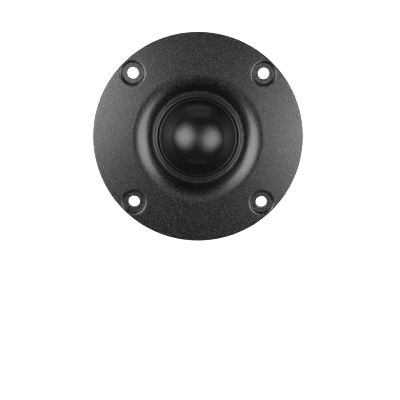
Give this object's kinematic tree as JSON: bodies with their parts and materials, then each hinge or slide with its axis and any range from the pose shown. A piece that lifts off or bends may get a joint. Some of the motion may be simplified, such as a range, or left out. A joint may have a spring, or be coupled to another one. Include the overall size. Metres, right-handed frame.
{
  "type": "dome tweeter",
  "caption": "Soft-dome tweeter with a round recessed front plate, foam gasket, sealed ribbed rear chamber and side tab terminals.",
  "frame": {"origin": "centre of the four fixing holes, on the back face of the flange", "axes": "+Z along the dome axis, out of the dome; +X and -X towards the two terminals; -Y is the side that carries the label"},
  "size_m": [0.104, 0.104, 0.0441],
  "materials": {
    "textured_plastic": "black glass-filled plastic, fine sand-grain moulded texture",
    "gasket_foam": "open-cell polyurethane foam, charcoal, die cut",
    "coated_fabric": "fine plain-woven dome fabric with a thin damping coat, black",
    "surround_fabric": "soft polymer-coated cloth, black, smooth",
    "former_aluminium": "thin aluminium foil former",
    "coil_wire": "enamelled copper-clad wire",
    "ring_plastic": "smooth moulded black plastic",
    "brass": "stamped brass, tinned where soldered",
    "plated_steel": "zinc-plated low-carbon steel",
    "plated_magnet": "nickel-plated neodymium magnet",
    "copper": "plain copper sheet",
    "felt": "grey wool felt",
    "screw_steel": "zinc-plated machine screws",
    "housing_plastic": "black moulded plastic, satin",
    "seal_rubber": "black rubber",
    "damping_foam": "soft open-cell damping foam",
    "label_paper": "white printed paper label with a made-up bar pattern",
    "holder_plastic": "black moulded plastic, satin",
    "gold_plate": "gold-plated brass",
    "lead_insulation": "black insulated hook-up wire"
  },
  "bodies": {
    "root": {"carrier_ring": "ring_plastic", "chamber_foam": "damping_foam", "chamber_seal": "seal_rubber", "clamp_ring": "ring_plastic", "coil_lead_outs": "coil_wire", "copper_cap": "copper", "faceplate": "textured_plastic", "foam_gasket": "gasket_foam", "label": "label_paper", "motor_housing": "housing_plastic", "motor_screws": "screw_steel", "pole_felt": "felt", "pole_yoke": "plated_steel", "rear_cup": "housing_plastic", "ring_magnet": "plated_magnet", "solder_lugs": "brass", "surround": "surround_fabric", "terminal_holder_negative": "holder_plastic", "terminal_holder_positive": "holder_plastic", "terminal_lead_negative": "lead_insulation", "terminal_lead_positive": "lead_insulation", "terminal_tab_negative": "gold_plate", "terminal_tab_positive": "gold_plate", "top_plate": "plated_steel", "vent_plug": "felt"},
    "diaphragm": {"dome": "coated_fabric", "coil_former": "former_aluminium", "coil_winding": "coil_wire"}
  },
  "joints": [
    {"name": "dome_travel", "type": "slide", "parent": "root", "child": "diaphragm", "axis": [0, 0, 1], "range_m": [-0.0005, 0.0005], "stiffness_N_per_m": 4000, "deforming": ["surround", "coil_lead_outs"]}
  ]
}
